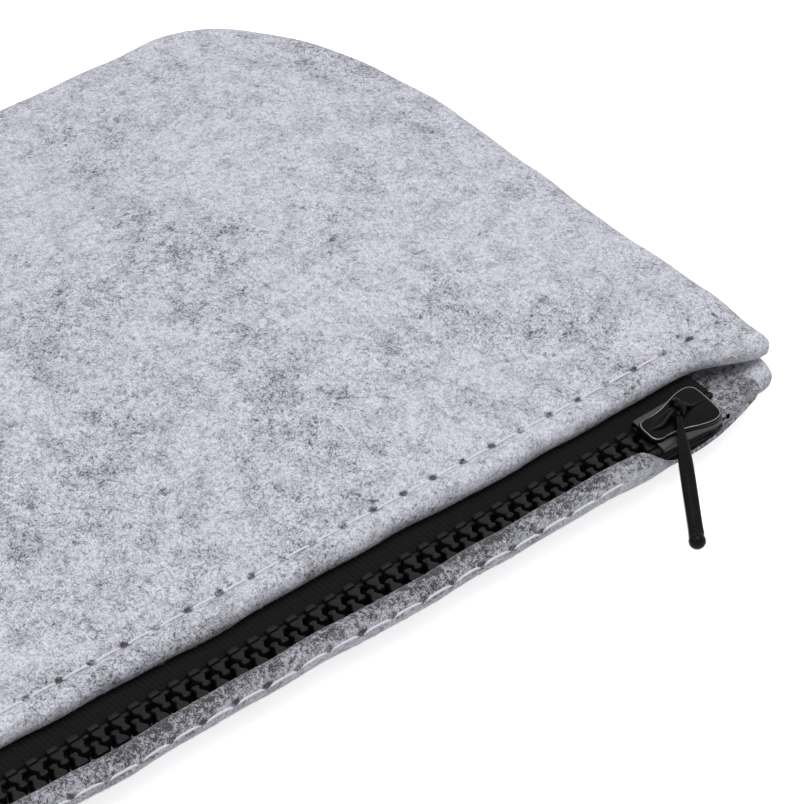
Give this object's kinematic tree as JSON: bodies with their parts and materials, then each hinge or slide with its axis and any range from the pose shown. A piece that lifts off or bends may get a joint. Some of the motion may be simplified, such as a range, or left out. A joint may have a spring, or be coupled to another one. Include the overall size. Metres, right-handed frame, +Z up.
{
  "type": "eyeglasses case",
  "caption": "Flat soft felt pouch for eyeglasses, with rolled sewn edges and a moulded zip along its front long edge, run by a slider with a slim hanging pull tab.",
  "frame": {"origin": "on the table under the middle of the case's felt, at the lower panel's flat underside", "axes": "+X along the zip towards its closed end, +Y from the zip to the rear seam, +Z up"},
  "size_m": [0.19, 0.1059, 0.0131],
  "materials": {
    "felt": "mottled grey felt",
    "thread": "pale grey sewing thread",
    "tape": "black ribbed woven tape",
    "teeth": "black moulded plastic, satin",
    "slider": "gloss black enamel"
  },
  "bodies": {
    "pouch": {"lower_felt_panel": "felt", "seam_thread": "thread", "lower_topstitch": "thread", "lower_zip_tape": "tape", "lower_teeth": "teeth", "lower_top_stop": "teeth", "bottom_stop": "teeth"},
    "mouth": {"upper_felt_panel": "felt", "upper_topstitch": "thread", "upper_zip_tape": "tape", "upper_teeth": "teeth", "upper_top_stop": "teeth"},
    "slider": {"slider_body": "slider", "slider_bridge": "slider"},
    "pull": {"pull_tab": "slider"}
  },
  "joints": [
    {"name": "slider_travel", "type": "slide", "parent": "pouch", "child": "slider", "axis": [-1, 0, 0], "range_m": [0, 0.156], "deforming": ["upper_teeth", "lower_teeth", "upper_zip_tape"]},
    {"name": "mouth_open", "type": "hinge", "parent": "pouch", "child": "mouth", "pos_m": [0, 0.04668, 0.0037], "axis": [-1, 0, 0], "range_deg": [0, 16], "deforming": ["upper_teeth", "upper_zip_tape"]},
    {"name": "pull_swing", "type": "hinge", "parent": "slider", "child": "pull", "pos_m": [0.07915, -0.0434, 0.00703], "axis": [-1, 0, 0], "range_deg": [0, 150]}
  ],
  "couplings": [
    {"joint": "mouth_open", "follows": "slider_travel", "rad_per_m": 1.78}
  ]
}
